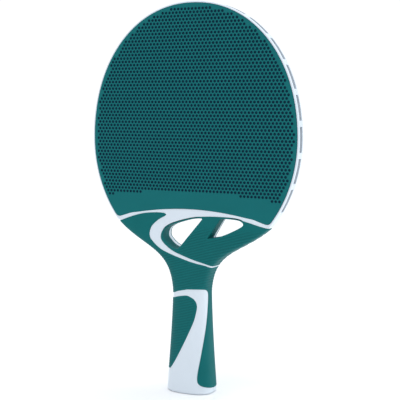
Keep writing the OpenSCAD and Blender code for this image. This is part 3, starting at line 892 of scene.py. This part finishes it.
def build_grip(scene, name, node, level, low, high, columns, slope, ribbed, windows=False):
    """A soft grip of two halves. Each is the skin of the body inside the grip's outline on its own side."""
    bat = Bat(scene)
    grips = bat.grips
    grid, normals = bat.front_skin(np.arange(low, high, 0.3 * MM), columns)
    data = np.concatenate([grid, normals], 2).reshape(-1, 6)
    faces = grid_faces(*grid.shape[:2])
    walls = [[], []]
    if windows:
        radius, end = grips.window_edge, grips.lining_end
        turn = np.linspace(0, math.pi / 2, 5)[1:]
        bend = [(radius * math.sin(a), None, radius * (1 - math.cos(a))) for a in turn]
        walls = [bend + [(radius, -end, 0), (radius - grips.lining, -end, 0)],
                 bend + [(radius, None, grips.bed + grips.proud)]]
    halves = []
    for side, wall in zip((1, -1), walls):
        inside = level(bat, data[:, 0], side * data[:, 1], data[:, 2])
        used = (inside > -3 * MM)[faces].any(1)
        place, part = np.unique(faces[used], return_inverse=True)
        skin = np.column_stack([data[place], inside[place]])
        halves += grip_half(bat, skin, part.reshape(-1, 3), slope, ribbed, wall)
    points, faces = join_halves(*halves)
    return make_piece(name, points, faces, material(grip_material, scene), [node], shade=points[:, 3])


def throat_ribs(bat, x, z):
    """The island is ribbed all over but for its top, where the ribs fade out."""
    return 1 - smoothstep(z, bat.wing_z - 6 * MM, bat.wing_z)


def neck_ribs(bat, x, z):
    """The collar is ribbed, the fin and the panel along the handle are smooth."""
    above = smoothstep(z, bat.neck_z + 24 * MM, bat.neck_z + 34 * MM)
    return smoothstep(z, bat.neck_z, bat.neck_z + 3 * MM) * (1 - above)


def palm_ribs(bat, x, z):
    """The palm grip is ribbed all over."""
    return np.ones(len(x))


# Stage ---------------------------------------------------------------------------------------------

def build_floor(scene):
    """A large plain round floor: rings of points by radius and angle."""
    tone = scene.bat_colours.floor
    nodes = Nodes("studio_floor")
    nodes.feed(nodes.shader, Base_Color=nodes.mix(nodes.noise(3), shaded(tone, 0.99), shaded(tone, 1.0)))
    nodes.feed(nodes.shader, Roughness=0.35)
    angle = np.linspace(0, 2 * math.pi, 97)[:-1]
    radius = np.array([0.02, 0.2, 1, 3, 8])
    ring = np.stack([np.cos(angle), np.sin(angle), 0 * angle], 1)
    grid = radius[:, None, None] * ring
    points = np.concatenate([grid.reshape(-1, 3), [(0, 0, 0)]])
    index = np.arange(grid.shape[0] * 96).reshape(-1, 96)
    index = np.concatenate([index, index[:, :1]], 1)
    quads = np.stack([index[:-1, :-1], index[1:, :-1], index[1:, 1:], index[:-1, 1:]], 2).reshape(-1, 4)
    fan = [(a, b, len(points) - 1) for a, b in zip(index[0, :-1], index[0, 1:])]
    mesh = bpy.data.meshes.new("studio_floor")
    mesh.from_pydata(points.tolist(), [], quads.tolist() + fan)
    mesh.materials.append(nodes.material)
    floor = bpy.data.objects.new("studio_floor", mesh)
    scene.collection.objects.link(floor)


def add_light(scene, name, place, target, width, power, tint=(1, 1, 1)):
    """A square soft light that faces a target."""
    light = bpy.data.lights.new(name, "AREA")
    light.shape = "SQUARE"
    light.size = width
    light.energy = power
    light.color = tint
    lamp = bpy.data.objects.new(name, light)
    lamp.location = place
    lamp.rotation_euler = (Vector(target) - Vector(place)).to_track_quat("-Z", "Y").to_euler()
    scene.collection.objects.link(lamp)


def build_world(scene):
    """A white room: pure white to the camera, a slightly cool soft light on the bat."""
    world = bpy.data.worlds.new("white_room")
    world.use_nodes = True
    tree = world.node_tree
    soft = tree.nodes["Background"]
    soft.inputs["Color"].default_value = (0.86, 0.93, 1, 1)
    soft.inputs["Strength"].default_value = 0.72
    seen = tree.nodes.new("ShaderNodeBackground")
    seen.inputs["Color"].default_value = (1, 1, 1, 1)
    seen.inputs["Strength"].default_value = 1.05
    path = tree.nodes.new("ShaderNodeLightPath")
    mix = tree.nodes.new("ShaderNodeMixShader")
    tree.links.new(path.outputs["Is Camera Ray"], mix.inputs[0])
    tree.links.new(soft.outputs[0], mix.inputs[1])
    tree.links.new(seen.outputs[0], mix.inputs[2])
    tree.links.new(mix.outputs[0], tree.nodes["World Output"].inputs["Surface"])
    scene.world = world


def build_camera(scene):
    """A long lens at the height of the throat, turned a little to the bat's right-hand edge."""
    camera = bpy.data.cameras.new("camera")
    camera.lens = 90.66
    camera.sensor_width = 36
    eye = bpy.data.objects.new("camera", camera)
    place = Vector((0.3148, -0.5914, 0.1874))
    look = Vector((0.0052, 0, 0.1293)) - place
    turn = look.to_track_quat("-Z", "Y").to_matrix().to_4x4() @ Matrix.Rotation(math.radians(0.38), 4, "Z")
    eye.matrix_world = Matrix.Translation(place) @ turn
    scene.collection.objects.link(eye)
    scene.camera = eye


def build_stage(scene):
    """Floor, white room, lights and camera."""
    scene.view_settings.view_transform = "Standard"
    build_floor(scene)
    build_world(scene)
    build_camera(scene)
    add_light(scene, "side_light", (1.6, 0.9, 0.7), (0, 0, 0.15), 1.2, 9, (0.9, 0.96, 1))
    sky = bpy.data.lights.new("overhead_light", "SUN")
    sky.energy = 2.05
    sky.angle = math.radians(50)
    scene.collection.objects.link(bpy.data.objects.new("overhead_light", sky))


# Operators, panel and run --------------------------------------------------------------------------

class BAT_OT_handle_core(bpy.types.Operator):
    """Add the hard core of the handle and throat"""

    bl_idname = "bat.handle_core"
    bl_label = "Handle Core"

    def execute(self, context):
        build_handle_core(context.scene)
        return {"FINISHED"}


class BAT_OT_blade_core(bpy.types.Operator):
    """Add the hard core of the blade with its slotted rim"""

    bl_idname = "bat.blade_core"
    bl_label = "Blade Core"

    def execute(self, context):
        build_blade_core(context.scene)
        return {"FINISHED"}


class BAT_OT_pads(bpy.types.Operator):
    """Add the two dimpled playing pads"""

    bl_idname = "bat.pads"
    bl_label = "Playing Pads"

    def execute(self, context):
        build_pads(context.scene)
        return {"FINISHED"}


class BAT_OT_throat_grip(bpy.types.Operator):
    """Add the soft island round the windows of the throat"""

    bl_idname = "bat.throat_grip"
    bl_label = "Throat Grip"

    def execute(self, context):
        bat = Bat(context.scene)
        low, high = bat.neck_z + 0.2 * bat.handle.throat, bat.wing_z + 0.8 * bat.handle.fade
        build_grip(context.scene, "throat_grip_skin", "throat_grip", Bat.throat_level, low, high, 260,
                   0.28, throat_ribs, windows=True)
        return {"FINISHED"}


class BAT_OT_neck_grip(bpy.types.Operator):
    """Add the soft fin, collar and handle panel"""

    bl_idname = "bat.neck_grip"
    bl_label = "Neck Grip"

    def execute(self, context):
        bat = Bat(context.scene)
        build_grip(context.scene, "neck_grip_skin", "neck_grip", Bat.neck_level, 2 * MM,
                   bat.wing_z + 0.9 * bat.handle.fade, 200, 0.28, neck_ribs)
        return {"FINISHED"}


class BAT_OT_palm_grip(bpy.types.Operator):
    """Add the ribbed soft grip under the palm"""

    bl_idname = "bat.palm_grip"
    bl_label = "Palm Grip"

    def execute(self, context):
        bat = Bat(context.scene)
        build_grip(context.scene, "palm_grip_skin", "palm_grip", Bat.palm_level, 0.15 * bat.neck_z,
                   bat.neck_z, 130, 0.28, palm_ribs)
        return {"FINISHED"}


class BAT_OT_stage(bpy.types.Operator):
    """Add the floor, the lights and the camera"""

    bl_idname = "bat.stage"
    bl_label = "Stage"

    def execute(self, context):
        build_stage(context.scene)
        return {"FINISHED"}


OPERATORS = (BAT_OT_handle_core, BAT_OT_blade_core, BAT_OT_pads, BAT_OT_throat_grip, BAT_OT_neck_grip,
             BAT_OT_palm_grip, BAT_OT_stage)


class BAT_PT_panel(bpy.types.Panel):
    """Sidebar panel with one button for each piece"""

    bl_idname = "BAT_PT_panel"
    bl_label = "Table Tennis Bat"
    bl_space_type = "VIEW_3D"
    bl_region_type = "UI"
    bl_category = "Bat"

    def draw(self, context):
        for operator in OPERATORS:
            self.layout.operator(operator.bl_idname)
        for group in (context.scene.bat_blade, context.scene.bat_handle, context.scene.bat_grips,
                      context.scene.bat_colours):
            box = self.layout.box()
            for name in group.__annotations__:
                box.prop(group, name)


GROUPS = {"bat_blade": BladeSizes, "bat_handle": HandleSizes, "bat_grips": GripSizes, "bat_colours": BatColours}


def register():
    for cls in (*GROUPS.values(), *OPERATORS, BAT_PT_panel):
        bpy.utils.register_class(cls)
    for name, group in GROUPS.items():
        setattr(bpy.types.Scene, name, bpy.props.PointerProperty(type=group))


def unregister():
    for name in GROUPS:
        delattr(bpy.types.Scene, name)
    for cls in (BAT_PT_panel, *OPERATORS[::-1], *list(GROUPS.values())[::-1]):
        bpy.utils.unregister_class(cls)


def main():
    register()
    bpy.ops.bat.handle_core()
    bpy.ops.bat.blade_core()
    bpy.ops.bat.pads()
    bpy.ops.bat.throat_grip()
    bpy.ops.bat.neck_grip()
    bpy.ops.bat.palm_grip()
    bpy.ops.bat.stage()


if __name__ == "__main__":
    main()
